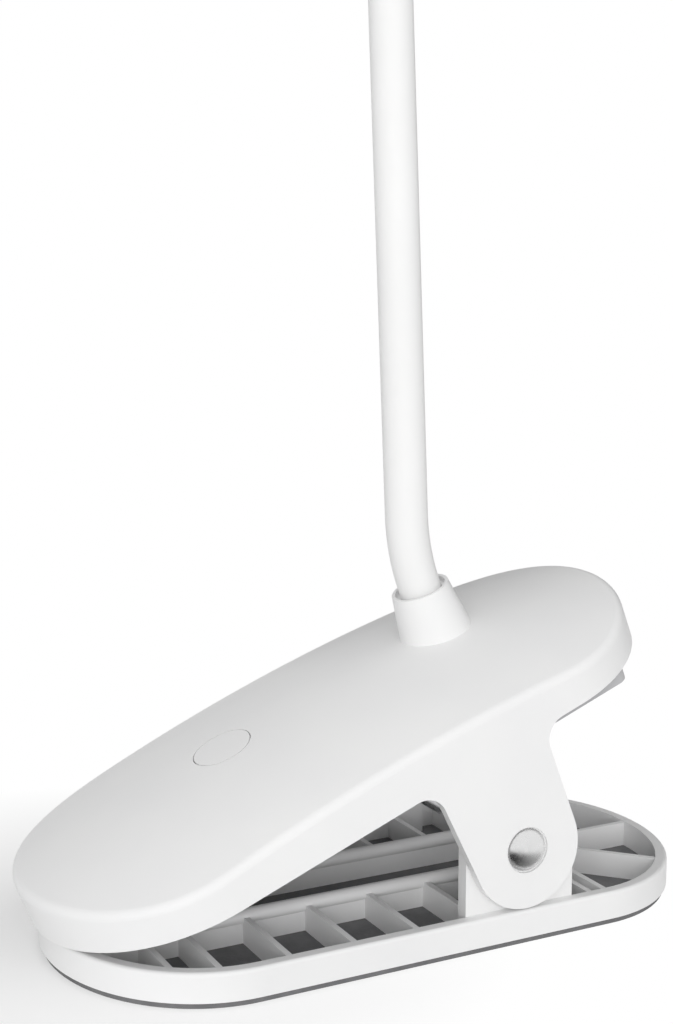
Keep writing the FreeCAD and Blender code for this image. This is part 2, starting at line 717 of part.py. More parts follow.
def switch_body():
    """Square body of the push switch, with a well for its plunger."""
    half = SWITCH_SIDE / 2
    body = box((BUTTON_X - half, BUTTON_X + half), (-half, half), (BOARD_TOP, BOARD_TOP + SWITCH_HEIGHT))
    well = BOARD_TOP + SWITCH_HEIGHT - PLUNGER_RISE - BUTTON_TRAVEL - SEAT_GAP
    return body.cut(upright(PLUNGER_RADIUS + SEAT_GAP, BUTTON_X, 0, well, BOARD_TOP + SWITCH_HEIGHT + OVERRUN))


def switch_plunger():
    """Round plunger of the push switch, pressed by the stem of the button."""
    return upright(PLUNGER_RADIUS, BUTTON_X, 0, plunger_top() - 2 * PLUNGER_RISE, plunger_top())


def board_posts():
    """X and Y of the four posts that carry the circuit board."""
    along = BOARD_LENGTH / 2 - BOARD_POST_INSET
    across = BOARD_WIDTH / 2 - BOARD_POST_INSET
    return [(BUTTON_X + a * along, b * across) for a in (-1, 1) for b in (-1, 1)]


def circuit_board():
    """Board under the button."""
    half_length = BOARD_LENGTH / 2
    half_width = BOARD_WIDTH / 2
    along = (BUTTON_X - half_length, BUTTON_X + half_length)
    return box(along, (-half_width, half_width), (BOARD_TOP - BOARD_WALL, BOARD_TOP))


def board_components():
    """Charger chip, LED driver chip and two power coils on the circuit board."""
    reach = BOARD_LENGTH / 4 + SWITCH_SIDE / 2
    side = BOARD_WIDTH / 4
    pieces = []
    for sign in (-1, 1):
        chip_x = BUTTON_X + reach
        chip_y = sign * side
        half = CHIP_SIDE / 2
        span = (chip_y - half, chip_y + half)
        pieces.append(box((chip_x - half, chip_x + half), span, (BOARD_TOP, BOARD_TOP + CHIP_HEIGHT)))
        coil_x = BUTTON_X - reach
        pieces.append(upright(COIL_SIDE / 2, coil_x, chip_y, BOARD_TOP, BOARD_TOP + COIL_HEIGHT))
    return Part.makeCompound(pieces)


def battery():
    """Flat pouch cell that lies in the tub."""
    half = BATTERY_WIDTH / 2
    along = (BATTERY_START, BATTERY_START + BATTERY_LENGTH)
    cell = box(along, (-half, half), (TUB_FLOOR, TUB_FLOOR + BATTERY_HEIGHT))
    return cell.makeFillet(BATTERY_FILLET, edges_along(cell, X_AXIS))


def socket_mouth():
    """X of the mouth of the charge socket, sunk into the rounded rear edge."""
    return REAR_END - SHELL_WALL - SOCKET_RECESS


def charge_board():
    """Small board in the pocket of the cover, under the charge socket."""
    half = CHARGE_BOARD_WIDTH / 2
    top = socket_height() - SOCKET_HEIGHT / 2
    rear = socket_mouth() - CHARGE_BOARD_SETBACK
    along = (rear - CHARGE_BOARD_LENGTH, rear)
    return box(along, (-half, half), (top - CHARGE_BOARD_WALL, top))


def charge_socket():
    """Oval metal charge socket with its tongue, open to the rear."""
    mouth = socket_mouth()
    back = mouth - SOCKET_LENGTH
    shell = socket_prism(0, (back, mouth))
    shell = shell.cut(socket_prism(-SOCKET_WALL, (back + SOCKET_WALL, mouth + OVERRUN)))
    half_width = TONGUE_WIDTH / 2
    half_height = TONGUE_HEIGHT / 2
    level = (socket_height() - half_height, socket_height() + half_height)
    tongue = box((back, mouth - SOCKET_RECESS), (-half_width, half_width), level)
    return joined([shell, tongue])


# Neck fittings, drawn in the upper jaw's frame


def neck_ferrule():
    """Threaded end of the neck, through the crown and the nut, with a socket for the core."""
    low = nut_seat() - NUT_HEIGHT - NUT_TAIL
    top = ferrule_top()
    body = upright(NECK_RADIUS, NECK_X, 0, low, top)
    bore = upright(CORE_BORE, NECK_X, 0, low - OVERRUN, top)
    socket = upright(CORE_RADIUS + RUNNING_FIT, NECK_X, 0, top - FERRULE_SOCKET, top + OVERRUN)
    return body.cut([bore, socket])


def neck_nut():
    """Hexagon nut that clamps the ferrule under the crown."""
    corner = NUT_FLATS / math.sqrt(3)
    low = nut_seat() - NUT_HEIGHT
    ring = [math.radians(60 * k) for k in range(7)]
    points = [Vector(NECK_X + corner * math.cos(a), corner * math.sin(a), low) for a in ring]
    nut = Part.Face(Part.makePolygon(points)).extrude(Vector(0, 0, NUT_HEIGHT))
    return nut.cut(upright(NECK_RADIUS + RUNNING_FIT, NECK_X, 0, low - OVERRUN, nut_seat() + OVERRUN))


def neck_collar(outer):
    """Tapered collar that stands on the crown round the foot of the neck, with a sunk top."""
    foot = Vector(NECK_X, 0, neck_foot() - OVERRUN)
    taper = (COLLAR_RADIUS - COLLAR_TOP_RADIUS) / COLLAR_HEIGHT
    wide = COLLAR_RADIUS + taper * OVERRUN
    cone = Part.makeCone(wide, COLLAR_TOP_RADIUS, COLLAR_HEIGHT + OVERRUN, foot, Z_AXIS)
    bore = upright(NECK_RADIUS + RUNNING_FIT, NECK_X, 0, foot.z - OVERRUN, collar_top() + OVERRUN)
    sunk = upright(COLLAR_TOP_RADIUS - COLLAR_RIM, NECK_X, 0, collar_top() - COLLAR_RECESS, collar_top() + OVERRUN)
    return cone.cut([outer, bore, sunk])


# Gooseneck, drawn in place in the plane y = 0


def lean(angle):
    """Direction in the plane y = 0 that leans from +Z towards -X."""
    return Vector(-math.sin(math.radians(angle)), 0, math.cos(math.radians(angle)))


def beside(angle):
    """Direction square to the lean, on its +X side."""
    return Vector(math.cos(math.radians(angle)), 0, math.sin(math.radians(angle)))


def jaw_point(x, z):
    """Point of the upper jaw's frame in the plane y = 0, at the closed jaw."""
    return PIVOT.add(beside(JAW_TILT).multiply(x)).add(lean(JAW_TILT).multiply(z))


def root_bend():
    """Centre and end of the arc in which the neck turns from the jaw's own tilt to its lean."""
    start = jaw_point(NECK_X, collar_top())
    centre = start.add(beside(JAW_TILT).multiply(ROOT_BEND))
    return centre, centre.sub(beside(NECK_LEAN).multiply(ROOT_BEND))


def neck_point(distance):
    """Point on the straight run of the neck."""
    return root_bend()[1].add(lean(NECK_LEAN).multiply(distance))


def crook():
    """Middle point, end and centre of the arc in which the neck turns over to the head."""
    start = neck_point(CROOK_START)
    centre = start.sub(beside(NECK_LEAN).multiply(CROOK_BEND))
    end_lean = 90 + HEAD_DROOP
    middle = centre.add(beside((NECK_LEAN + end_lean) / 2).multiply(CROOK_BEND))
    return middle, centre.add(beside(end_lean).multiply(CROOK_BEND)), end_lean


def swept(radius, edges, start, way):
    """Round rod along a path of lines and arcs."""
    section = Part.Wire(Part.makeCircle(radius, start, way))
    return Part.Wire(edges).makePipeShell([section], True, False)


def root_rod(radius, low, end_distance):
    """Rod from a level in the upper jaw, round the first bend, to a place on the straight run."""
    start = jaw_point(NECK_X, low)
    bend_start = jaw_point(NECK_X, collar_top())
    centre, bend_end = root_bend()
    middle = centre.sub(beside((JAW_TILT + NECK_LEAN) / 2).multiply(ROOT_BEND))
    edges = [
        Part.LineSegment(start, bend_start).toShape(),
        Part.Arc(bend_start, middle, bend_end).toShape(),
        Part.LineSegment(bend_end, neck_point(end_distance)).toShape(),
    ]
    return swept(radius, edges, start, lean(JAW_TILT))


def straight_rod(radius, start_distance, end_distance):
    """Rod along the straight run of the neck."""
    return rod(radius, neck_point(start_distance), neck_point(end_distance))


def crook_rod(radius, start_distance, tail):
    """Rod from the straight run over the crook, with a straight tail into the head."""
    start = neck_point(start_distance)
    bend_start = neck_point(CROOK_START)
    middle, bend_end, end_lean = crook()
    edges = [
        Part.LineSegment(start, bend_start).toShape(),
        Part.Arc(bend_start, middle, bend_end).toShape(),
        Part.LineSegment(bend_end, bend_end.add(lean(end_lean).multiply(tail))).toShape(),
    ]
    return swept(radius, edges, start, lean(NECK_LEAN))


def cup(distance):
    """Ball that leaves room for the round end of the next length of neck."""
    return Part.makeSphere(NECK_RADIUS + MOVE_GAP, neck_point(distance))


def round_end(distance):
    """Half ball on the lower end of a length of neck, about its bend joint."""
    return Part.makeSphere(NECK_RADIUS, neck_point(distance), lean(NECK_LEAN), -90, 0, 360)


def core_start(distance):
    """Place where a core starts inside the half ball of its sleeve."""
    return distance - math.sqrt(NECK_RADIUS**2 - CORE_RADIUS**2) + RUNNING_FIT


def core_end(distance):
    """Place where a core stops short of the next length's half ball."""
    return distance - NECK_RADIUS - MOVE_GAP


def neck_lengths():
    """Sleeve and core of each length of the neck, from the jaw to the head."""
    bore = CORE_RADIUS + RUNNING_FIT
    first, second, third = JOINT_STARTS
    core_low = ferrule_top() - FERRULE_SOCKET
    pieces = {}
    root = root_rod(NECK_RADIUS, ferrule_top(), first)
    pieces["neck_sleeve_root"] = root.cut([root_rod(bore, ferrule_top() - OVERRUN, first + OVERRUN), cup(first)])
    core = root_rod(CORE_RADIUS, core_low, core_end(first))
    pieces["neck_core_root"] = core.cut(root_rod(CORE_BORE, core_low - OVERRUN, first))
    for name, start, end in (("lower", first, second), ("middle", second, third)):
        sleeve = straight_rod(NECK_RADIUS, start, end).fuse(round_end(start))
        hole = straight_rod(bore, start - NECK_RADIUS - OVERRUN, end + OVERRUN)
        pieces["neck_sleeve_" + name] = sleeve.cut([hole, cup(end)])
        core = straight_rod(CORE_RADIUS, core_start(start), core_end(end))
        pieces["neck_core_" + name] = core.cut(straight_rod(CORE_BORE, start - NECK_RADIUS, end))
    sleeve = crook_rod(NECK_RADIUS, third, SLEEVE_GRIP).fuse(round_end(third))
    hole = crook_rod(bore, third - NECK_RADIUS - OVERRUN, SLEEVE_GRIP + OVERRUN)
    pieces["neck_sleeve_upper"] = sleeve.cut(hole)
    core = crook_rod(CORE_RADIUS, core_start(third), CORE_GRIP)
    pieces["neck_core_upper"] = core.cut(crook_rod(CORE_BORE, third - NECK_RADIUS, CORE_GRIP + OVERRUN))
    return {name: shape.Solids[0] for name, shape in pieces.items()}


# Head, drawn in its own frame


def on_head(shape):
    """Shape drawn in the head's own frame, brought to the end of the neck."""
    placed = shape.copy()
    placed.rotate(Vector(), Y_AXIS, -HEAD_DROOP)
    placed.translate(crook()[1])
    return placed


def window_prism(grow, low, high):
    """Upright prism of the light window, grown all round."""
    far = WINDOW_FRAME - HEAD_LENGTH - grow
    return stadium_prism((far, grow - WINDOW_START), HEAD_WIDTH / 2 - WINDOW_FRAME + grow, low, high)


def head_shell():
    """Rounded bar with a light window below and a round socket for the neck at its rear end."""
    half = HEAD_HEIGHT / 2
    body = stadium_prism((-HEAD_LENGTH, 0), HEAD_WIDTH / 2, -half, half)
    for level, fillet in ((half, HEAD_FILLET), (-half, HEAD_SOLE_FILLET)):
        body = body.makeFillet(fillet, [edge for edge in body.Edges if edge_level(edge) == round(level, 6)])
    inner = half - HEAD_WALL
    body = body.cut(window_prism(0, -half - OVERRUN, inner))
    body = body.cut(window_prism(DIFFUSER_LEDGE, -half - OVERRUN, DIFFUSER_WALL - half))
    socket = rod(SOCKET_RADIUS, Vector(SLEEVE_GRIP, 0, 0), Vector(-SOCKET_INNER, 0, 0))
    nose = Part.makeCone(SOCKET_RADIUS, NECK_RADIUS, SOCKET_NOSE, Vector(-SOCKET_INNER, 0, 0), Vector(-1, 0, 0))
    body = joined([body, socket, nose])
    mouth = Vector(SLEEVE_GRIP + OVERRUN, 0, 0)
    cuts = [
        rod(NECK_RADIUS + RUNNING_FIT, mouth, Vector(-SLEEVE_GRIP, 0, 0)),
        rod(CORE_RADIUS + RUNNING_FIT, mouth, Vector(-CORE_GRIP, 0, 0)),
        rod(CORE_BORE, mouth, Vector(-WINDOW_START - OVERRUN, 0, 0)),
        upright(GRUB_RADIUS + RUNNING_FIT, grub_foot().x, 0, -SOCKET_RADIUS - OVERRUN, 0),
    ]
    return body.cut(cuts).Solids[0]


def grub_foot():
    """Point where the grub screw presses on the core of the neck."""
    return Vector(-SLEEVE_GRIP - GRUB_PLACE, 0, -CORE_RADIUS - RUNNING_FIT)


def head_grub_screw():
    """Slotted grub screw that holds the neck in the head."""
    low = GRUB_SLOT - SOCKET_RADIUS
    foot = grub_foot()
    screw = rod(GRUB_RADIUS, foot, Vector(foot.x, 0, low))
    along = (foot.x - GRUB_RADIUS - OVERRUN, foot.x + GRUB_RADIUS + OVERRUN)
    return screw.cut(box(along, (-GRUB_SLOT / 2, GRUB_SLOT / 2), (low - OVERRUN, low + GRUB_SLOT)))


def head_diffuser():
    """Frosted window that closes the head from below."""
    low = -HEAD_HEIGHT / 2
    return window_prism(DIFFUSER_LEDGE - RUNNING_FIT, low, low + DIFFUSER_WALL)


def led_ceiling():
    """Level of the ceiling of the head, where the LED board is stuck."""
    return HEAD_HEIGHT / 2 - HEAD_WALL


def led_board():
    """Board of the LEDs under the ceiling of the head."""
    return window_prism(-SEAT_GAP, led_ceiling() - LED_BOARD_WALL, led_ceiling())


def led_chips():
    """Two rows of LEDs on the underside of their board."""
    top = led_ceiling() - LED_BOARD_WALL
    first = -WINDOW_START - HEAD_WIDTH / 4
    last = WINDOW_FRAME + HEAD_WIDTH / 4 - HEAD_LENGTH
    pitch = (last - first) / (LED_COUNT - 1)
    chips = []
    for row in LED_ROWS:
        y = row * LED_ROW_OFFSET
        across = (y - LED_WIDTH / 2, y + LED_WIDTH / 2)
        for k in range(LED_COUNT):
            x = first + pitch * k
            chips.append(box((x - LED_LENGTH / 2, x + LED_LENGTH / 2), across, (top - LED_HEIGHT, top)))
    return Part.makeCompound(chips)


def all_pieces():
    """Every piece of the lamp by name, in place."""
    outer = outer_body()
    pieces = {
        "foot_pad": foot_pad(),
        "lower_frame": lower_frame(),
        "hinge_pin": hinge_pin(),
        "rivet_caps": rivet_caps(),
        "torsion_spring": torsion_spring(),
    }
    in_upper_jaw = {
        "upper_shell": upper_shell(outer),
        "bottom_cover": bottom_cover(),
        "cover_screws": cover_screws(),
        "button_cap": button_cap(outer),
        "switch_body": switch_body(),
        "switch_plunger": switch_plunger(),
        "circuit_board": circuit_board(),
        "board_components": board_components(),
        "battery": battery(),
        "charge_board": charge_board(),
        "charge_socket": charge_socket(),
        "neck_ferrule": neck_ferrule(),
        "neck_nut": neck_nut(),
        "neck_collar": neck_collar(outer),
    }
    in_head = {
        "head_shell": head_shell(),
        "head_grub_screw": head_grub_screw(),
        "head_diffuser": head_diffuser(),
        "led_board": led_board(),
        "led_chips": led_chips(),
    }
    pieces.update({name: on_upper_jaw(shape) for name, shape in in_upper_jaw.items()})
    pieces.update(neck_lengths())
    pieces.update({name: on_head(shape) for name, shape in in_head.items()})
    return pieces


os.makedirs("parts", exist_ok=True)
for name, shape in all_pieces().items():
    if not shape.isValid():
        raise ValueError(name + " is not a valid solid")
    shape.exportStep("parts/" + name + ".step")
print("jaw tilt", round(JAW_TILT, 3), "pivot", PIVOT)
print("neck joints", [neck_point(distance) for distance in JOINT_STARTS])
print("neck end", crook()[1], "collar top", jaw_point(NECK_X, collar_top()))
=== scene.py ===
import json
import math

import bpy
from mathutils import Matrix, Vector


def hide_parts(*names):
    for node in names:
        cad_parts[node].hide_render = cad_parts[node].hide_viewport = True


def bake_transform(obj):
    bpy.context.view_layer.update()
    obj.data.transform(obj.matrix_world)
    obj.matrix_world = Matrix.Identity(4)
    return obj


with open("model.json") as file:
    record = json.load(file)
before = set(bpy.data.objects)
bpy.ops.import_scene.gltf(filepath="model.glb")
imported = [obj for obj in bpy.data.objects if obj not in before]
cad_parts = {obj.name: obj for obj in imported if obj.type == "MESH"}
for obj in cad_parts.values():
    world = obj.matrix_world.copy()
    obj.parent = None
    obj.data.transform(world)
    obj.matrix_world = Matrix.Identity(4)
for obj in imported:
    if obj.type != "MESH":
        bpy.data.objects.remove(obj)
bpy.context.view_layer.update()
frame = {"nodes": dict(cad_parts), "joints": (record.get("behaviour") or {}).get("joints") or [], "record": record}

# Photograph's frame and camera, lengths in metres
FRAME_HEIGHT_PX = 1024
FOCAL_PX = 1600
SENSOR_MM = 36
CAMERA_TARGET = Vector((-0.0068, 0, 0.0826))
CAMERA_AZIMUTH = math.radians(-27.11)
CAMERA_ELEVATION = math.radians(8.52)
CAMERA_DISTANCE = 0.3192
CLIP_NEAR = 0.01
CLIP_FAR = 50.0

# Hinge and neck, as in the model
PIVOT = Vector(next(j for j in frame["joints"] if j["name"] == "jaw_hinge")["pos_m"])
BENDS = [
    Vector(next(j for j in frame["joints"] if j["name"] == name)["pos_m"])
    for name in ("neck_bend_low", "neck_bend_side", "neck_bend_high")
]
JAW_TILT = math.radians(21.517)
NECK_LEAN = math.radians(2.4)
NECK_RADIUS = 0.0044
CORE_RADIUS = 0.0032
CORE_BORE = 0.0020
SLEEVE_FIT = 0.00005
ROOT_BEND = 0.048
NECK_ALONG_JAW = 0.0122
COLLAR_TOP = 0.045059
SLEEVE_LOW = 0.039559
CORE_LOW = 0.036559
CROOK_START = 0.158
CROOK_BEND = 0.045
HEAD_DROOP = math.radians(5)
SLEEVE_TAIL = 0.003
CORE_TAIL = 0.011
RING_STEP = 0.0012
NECK_SIDES = 40

# Torsion spring, as in the model
WIRE_RADIUS = 0.0008
COIL_RADIUS = 0.0038
COIL_PITCH = 0.0026
COIL_TURNS = 4
UPPER_LEG = Vector((0.009, 0, 0.0166))
LOWER_LEG = Vector((0.0165, 0, -0.0116))
SPRING_MIDDLE = PIVOT + Vector((0, -0.019, 0))
COIL_STEPS_PER_TURN = 32
WIRE_SIDES = 14
LEG_STEPS = 10

# Materials: the part of a noise that is used, how marks change bare metal, and how fine the noise is
NOISE_SHARES = (0.3, 0.7)
MOTTLE_SHARES = (0.35, 0.65)
MARK_ROUGHNESS_SHARES = (0.8, 1.3)
DULL_SHARE = 0.94
GRAIN_DETAIL = 3.0
MOTTLE_DETAIL = 2.0

# Stage: floor, cards that show only in reflections as painted shade and painted reflection, each a corner and two
# sides, and light
FLOOR_HALF = 6.0
SHADOW_PLACE = Vector((-0.06, 0.015, 0))
FADE_START = 0.015
FADE_END = 0.09
FLOOR_WHITE_SHARE = 0.32
# The floor card is painted shade: a dark sheet seen only in reflections, darkest at its centre and fading
# outwards, which stands in for the shadow on the floor in front of the clip as the chrome reflects it.
PAINTED_SHADE_CARD = ((-0.19, -0.17, 0.0004), (0.26, 0, 0), (0, 0.136, 0))
# The rear card is a painted dark reflection: a black sheet far behind, seen only in gloss, that puts a dark
# crescent into the chrome.
PAINTED_REFLECTION_CARD = ((0.25, 0.75, 0), (0.5, -0.6, 0), (0, 0, 0.5))
PAINTED_SHADE_CENTRE = Vector((-0.025, -0.034, 0))
PAINTED_SHADE_FADE_START = 0.03
PAINTED_SHADE_FADE_END = 0.11
LIGHT_FROM = (-0.35, -0.7, 0.6)
LIGHT_EDGES = (-0.3, 0.5)
WORLD_LIGHT = 0.74
WORLD_BACK = 0.05
LAMP_PLACE = Vector((-0.7, -1.25, 0.45))
LAMP_SIZE = 1.0
LAMP_WATTS = 9.6


# Meshes


def mesh_object(name, points, faces):
    """Smooth mesh object in the model's frame."""
    mesh = bpy.data.meshes.new(name)
    mesh.from_pydata(points, [], faces)
    mesh.validate()
    mesh.shade_smooth()
    obj = bpy.data.objects.new(name, mesh)
    bpy.context.scene.collection.objects.link(obj)
    return obj


def ring_frames(path):
    """Tangent and two directions across it at each point, carried along with no twist."""
    frames = []
    across = Vector((0, 1, 0))
    for k, point in enumerate(path):
        before = path[max(k - 1, 0)]
        after = path[min(k + 1, len(path) - 1)]
        way = (after - before).normalized()
        across = (across - way * across.dot(way)).normalized()
        frames.append((point, across, way.cross(across)))
    return frames


def tube(name, path, radius, bore, sides):
    """Rod, or with a bore a tube, along a path with a round section, closed at both ends."""
    frames = ring_frames(path)
    turns = [math.tau * n / sides for n in range(sides)]
    rings = len(frames)

    def wall(reach):
        return [c + (a * math.cos(t) + u * math.sin(t)) * reach for c, a, u in frames for t in turns]

    points = wall(radius)
    faces = []
    for k in range(rings - 1):
        for n in range(sides):
            m = (n + 1) % sides
            faces.append((k * sides + n, k * sides + m, (k + 1) * sides + m, (k + 1) * sides + n))
    if bore:
        base = len(points)
        points += wall(bore)
        for k in range(rings - 1):
            for n in range(sides):
                m = (n + 1) % sides
                low = base + k * sides
                faces.append((low + m, low + n, low + sides + n, low + sides + m))
        last = (rings - 1) * sides
        for n in range(sides):
            m = (n + 1) % sides
            faces.append((m, n, base + n, base + m))
            faces.append((last + n, last + m, base + last + m, base + last + n))
    else:
        faces.append(tuple(range(sides))[::-1])
        faces.append(tuple((rings - 1) * sides + n for n in range(sides)))
    obj = mesh_object(name, points, faces)
    mark_end_edges(obj, sides, rings, bool(bore))
    return obj


def mark_end_edges(obj, sides, rings, hollow):
    """Sharp edges where the ends of a tube meet its walls, so that the walls shade as one surface."""
    last = (rings - 1) * sides
    ends = {*range(sides), *range(last, last + sides)}
    if hollow:
        base = rings * sides
        ends |= {*range(base, base + sides), *range(base + last, base + last + sides)}
    sharp = obj.data.attributes.new("sharp_edge", "BOOLEAN", "EDGE")
    for edge in obj.data.edges:
        a, b = edge.vertices
        if a in ends and b in ends:
            sharp.data[edge.index].value = True


# Neck


def lean(angle):
    """Direction in the plane y = 0 that leans from +Z towards -X."""
    return Vector((-math.sin(angle), 0, math.cos(angle)))


def beside(angle):
    """Direction square to the lean, on its +X side."""
    return Vector((math.cos(angle), 0, math.sin(angle)))


def spread(start, end):
    """Points from one to another, without the last, a ring apart."""
    count = max(2, round((end - start).length / RING_STEP))
    return [start.lerp(end, k / count) for k in range(count)]


def arc(centre, radius, first, last):
    """Points about a centre in the plane y = 0, without the last, a ring apart."""
    count = max(2, round(abs(radius * (last - first)) / RING_STEP))
    return [centre + beside(first + (last - first) * k / count) * radius for k in range(count)]


def midway(k):
    """Place halfway between one bend of the neck and the next."""
    return BENDS[k].lerp(BENDS[k + 1], 0.5)


def neck_line(low, tail):
    """Centre line of the neck from a level in the upper jaw to a tail in the head, as points a ring apart."""
    foot = PIVOT + beside(JAW_TILT) * NECK_ALONG_JAW
    collar = foot + lean(JAW_TILT) * COLLAR_TOP
    bend_centre = collar + beside(JAW_TILT) * ROOT_BEND
    bend_end = bend_centre - beside(NECK_LEAN) * ROOT_BEND
    crook_start = bend_end + lean(NECK_LEAN) * CROOK_START
    crook_centre = crook_start - beside(NECK_LEAN) * CROOK_BEND
    over = math.pi / 2 + HEAD_DROOP
    crook_end = crook_centre + beside(over) * CROOK_BEND
    line = spread(foot + lean(JAW_TILT) * low, collar)
    line += arc(bend_centre, -ROOT_BEND, JAW_TILT, NECK_LEAN)
    stops = [bend_end, midway(0), midway(1), crook_start]
    for start, end in zip(stops, stops[1:]):
        line += spread(start, end)
    line += arc(crook_centre, CROOK_BEND, NECK_LEAN, over)
    line += spread(crook_end, crook_end + lean(over) * tail)
    line.append(crook_end + lean(over) * tail)
    return line


def neck_pieces(name, line, radius, bore, materials, slot, replaced):
    """Neck skin or core in three pieces, each reaching across one joint and cut halfway between joints."""
    low_cut, high_cut = (min(range(len(line)), key=lambda k: (line[k] - midway(j)).length) for j in (0, 1))
    spans = [line[: low_cut + 1], line[low_cut : high_cut + 1], line[high_cut:]]
    parts = ["foot", "middle", "top"]
    for k, span in enumerate(spans):
        obj = tube(f"{name}_{parts[k]}", span, radius, bore, NECK_SIDES)
        obj.data.materials.append(materials[slot])
        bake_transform(obj)
        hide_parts(*replaced[k])


def neck(materials):
    """Skin and steel core of the gooseneck, in place of the stiff lengths of the model."""
    sleeve = neck_line(SLEEVE_LOW, SLEEVE_TAIL)
    core = neck_line(CORE_LOW, CORE_TAIL)
    bore = CORE_RADIUS + SLEEVE_FIT
    sleeves = [["neck_sleeve_root"], ["neck_sleeve_lower"], ["neck_sleeve_middle", "neck_sleeve_upper"]]
    cores = [["neck_core_root"], ["neck_core_lower"], ["neck_core_middle", "neck_core_upper"]]
    neck_pieces("neck_skin", sleeve, NECK_RADIUS, bore, materials, "white_sleeve", sleeves)
    neck_pieces("neck_hose", core, CORE_RADIUS, CORE_BORE, materials, "steel_core", cores)


# Spring


def spring_line():
    """Centre line of the torsion spring: upper leg, coil round the pin, lower leg."""
    upper_angle = JAW_TILT + math.atan2(UPPER_LEG.z, UPPER_LEG.x)
    lower_angle = math.atan2(LOWER_LEG.z, LOWER_LEG.x)
    start = upper_angle + math.acos(COIL_RADIUS / UPPER_LEG.length)
    finish = lower_angle - math.acos(COIL_RADIUS / LOWER_LEG.length)
    sweep = (finish - start) % math.tau + math.tau * COIL_TURNS
    rise = COIL_PITCH / math.tau
    half = rise * sweep / 2

    def place(share):
        angle = start + sweep * share
        side = rise * sweep * share - half
        return SPRING_MIDDLE + Vector((COIL_RADIUS * math.cos(angle), side, COIL_RADIUS * math.sin(angle)))

    def way(angle):
        return Vector((-math.sin(angle), 0, math.cos(angle)))

    upper_end = place(0) - way(start) * math.sqrt(UPPER_LEG.length**2 - COIL_RADIUS**2)
    lower_end = place(1) + way(start + sweep) * math.sqrt(LOWER_LEG.length**2 - COIL_RADIUS**2)
    steps = round(COIL_STEPS_PER_TURN * sweep / math.tau)
    line = [upper_end.lerp(place(0), k / LEG_STEPS) for k in range(LEG_STEPS)]
    line += [place(k / steps) for k in range(steps)]
    line += [place(1).lerp(lower_end, k / LEG_STEPS) for k in range(LEG_STEPS + 1)]
    return line, half


def spring(materials):
    """Torsion spring as one wire along its legs and round its coil."""
    line, half = spring_line()
    obj = tube("spring_wire", line, WIRE_RADIUS, 0, WIRE_SIDES)
    obj.data.materials.append(materials["spring_steel"])
    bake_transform(obj)
    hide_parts("torsion_spring")


# Materials


def node(tree, kind, **inputs):
    """Shader node with its plain input values set."""
    made = tree.nodes.new(kind)
    for name, value in inputs.items():
        made.inputs[name.replace("_", " ")].default_value = value
    return made


def ranged(tree, before, after):
    """Node that takes a number from one range to another."""
    ends = {"From_Min": before[0], "From_Max": before[1], "To_Min": after[0], "To_Max": after[1]}
    return node(tree, "ShaderNodeMapRange", **ends)


def surface(name, colour, roughness, **settings):
    """Material with a principled shader and its plain values, and the tree and shader to add detail to."""
    material = bpy.data.materials.new(name)
    material.use_nodes = True
    tree = material.node_tree
    shader = tree.nodes["Principled BSDF"]
    shader.inputs["Base Color"].default_value = (*colour, 1)
    shader.inputs["Roughness"].default_value = roughness
    for key, value in settings.items():
        shader.inputs[key.replace("_", " ")].default_value = value
    return material, tree, shader


def grain(tree, shader, scale, depth, strength, stretch=(1, 1, 1)):
    """Fine bump from noise in the model's own coordinates; returns the noise value."""
    place = node(tree, "ShaderNodeTexCoord")
    mapping = node(tree, "ShaderNodeMapping", Scale=stretch)
    noise = node(tree, "ShaderNodeTexNoise", Scale=scale, Detail=GRAIN_DETAIL)
    bump = node(tree, "ShaderNodeBump", Strength=strength, Distance=depth)
    tree.links.new(place.outputs["Object"], mapping.inputs["Vector"])
    tree.links.new(mapping.outputs["Vector"], noise.inputs["Vector"])
    tree.links.new(noise.outputs["Fac"], bump.inputs["Height"])
    tree.links.new(bump.outputs["Normal"], shader.inputs["Normal"])
    return noise.outputs["Fac"]


def vary(tree, value, socket, low, high):
    """Drives a number socket between two values."""
    stretched = ranged(tree, NOISE_SHARES, (low, high))
    tree.links.new(value, stretched.inputs["Value"])
    tree.links.new(stretched.outputs["Result"], socket)


def mottle(tree, socket, scale, first, second):
    """Slow colour change between two near colours."""
    place = node(tree, "ShaderNodeTexCoord")
    noise = node(tree, "ShaderNodeTexNoise", Scale=scale, Detail=MOTTLE_DETAIL)
    ramp = node(tree, "ShaderNodeValToRGB")
    for stop, share, colour in zip(ramp.color_ramp.elements, MOTTLE_SHARES, (first, second)):
        stop.position = share
        stop.color = (*colour, 1)
    tree.links.new(place.outputs["Object"], noise.inputs["Vector"])
    tree.links.new(noise.outputs["Fac"], ramp.inputs["Fac"])
    tree.links.new(ramp.outputs["Color"], socket)


def white_plastic():
    """Satin white moulding with a very fine spark-eroded grain."""
    material, tree, shader = surface("white_plastic", (0.86, 0.86, 0.86), 0.42, Specular_IOR_Level=0.45)
    value = grain(tree, shader, scale=2600, depth=0.00006, strength=0.16)
    vary(tree, value, shader.inputs["Roughness"], low=0.38, high=0.47)
    mottle(tree, shader.inputs["Base Color"], 45, (0.852, 0.852, 0.854), (0.872, 0.872, 0.87))
    return material


def sleeve_rubber():
    """Matte white silicone sleeve with a soft skin."""
    material, tree, shader = surface("white_sleeve", (0.88, 0.88, 0.875), 0.55, Sheen_Weight=0.08)
    value = grain(tree, shader, scale=1800, depth=0.00005, strength=0.12)
    vary(tree, value, shader.inputs["Roughness"], low=0.5, high=0.6)
    mottle(tree, shader.inputs["Base Color"], 60, (0.872, 0.872, 0.868), (0.89, 0.89, 0.886))
    return material


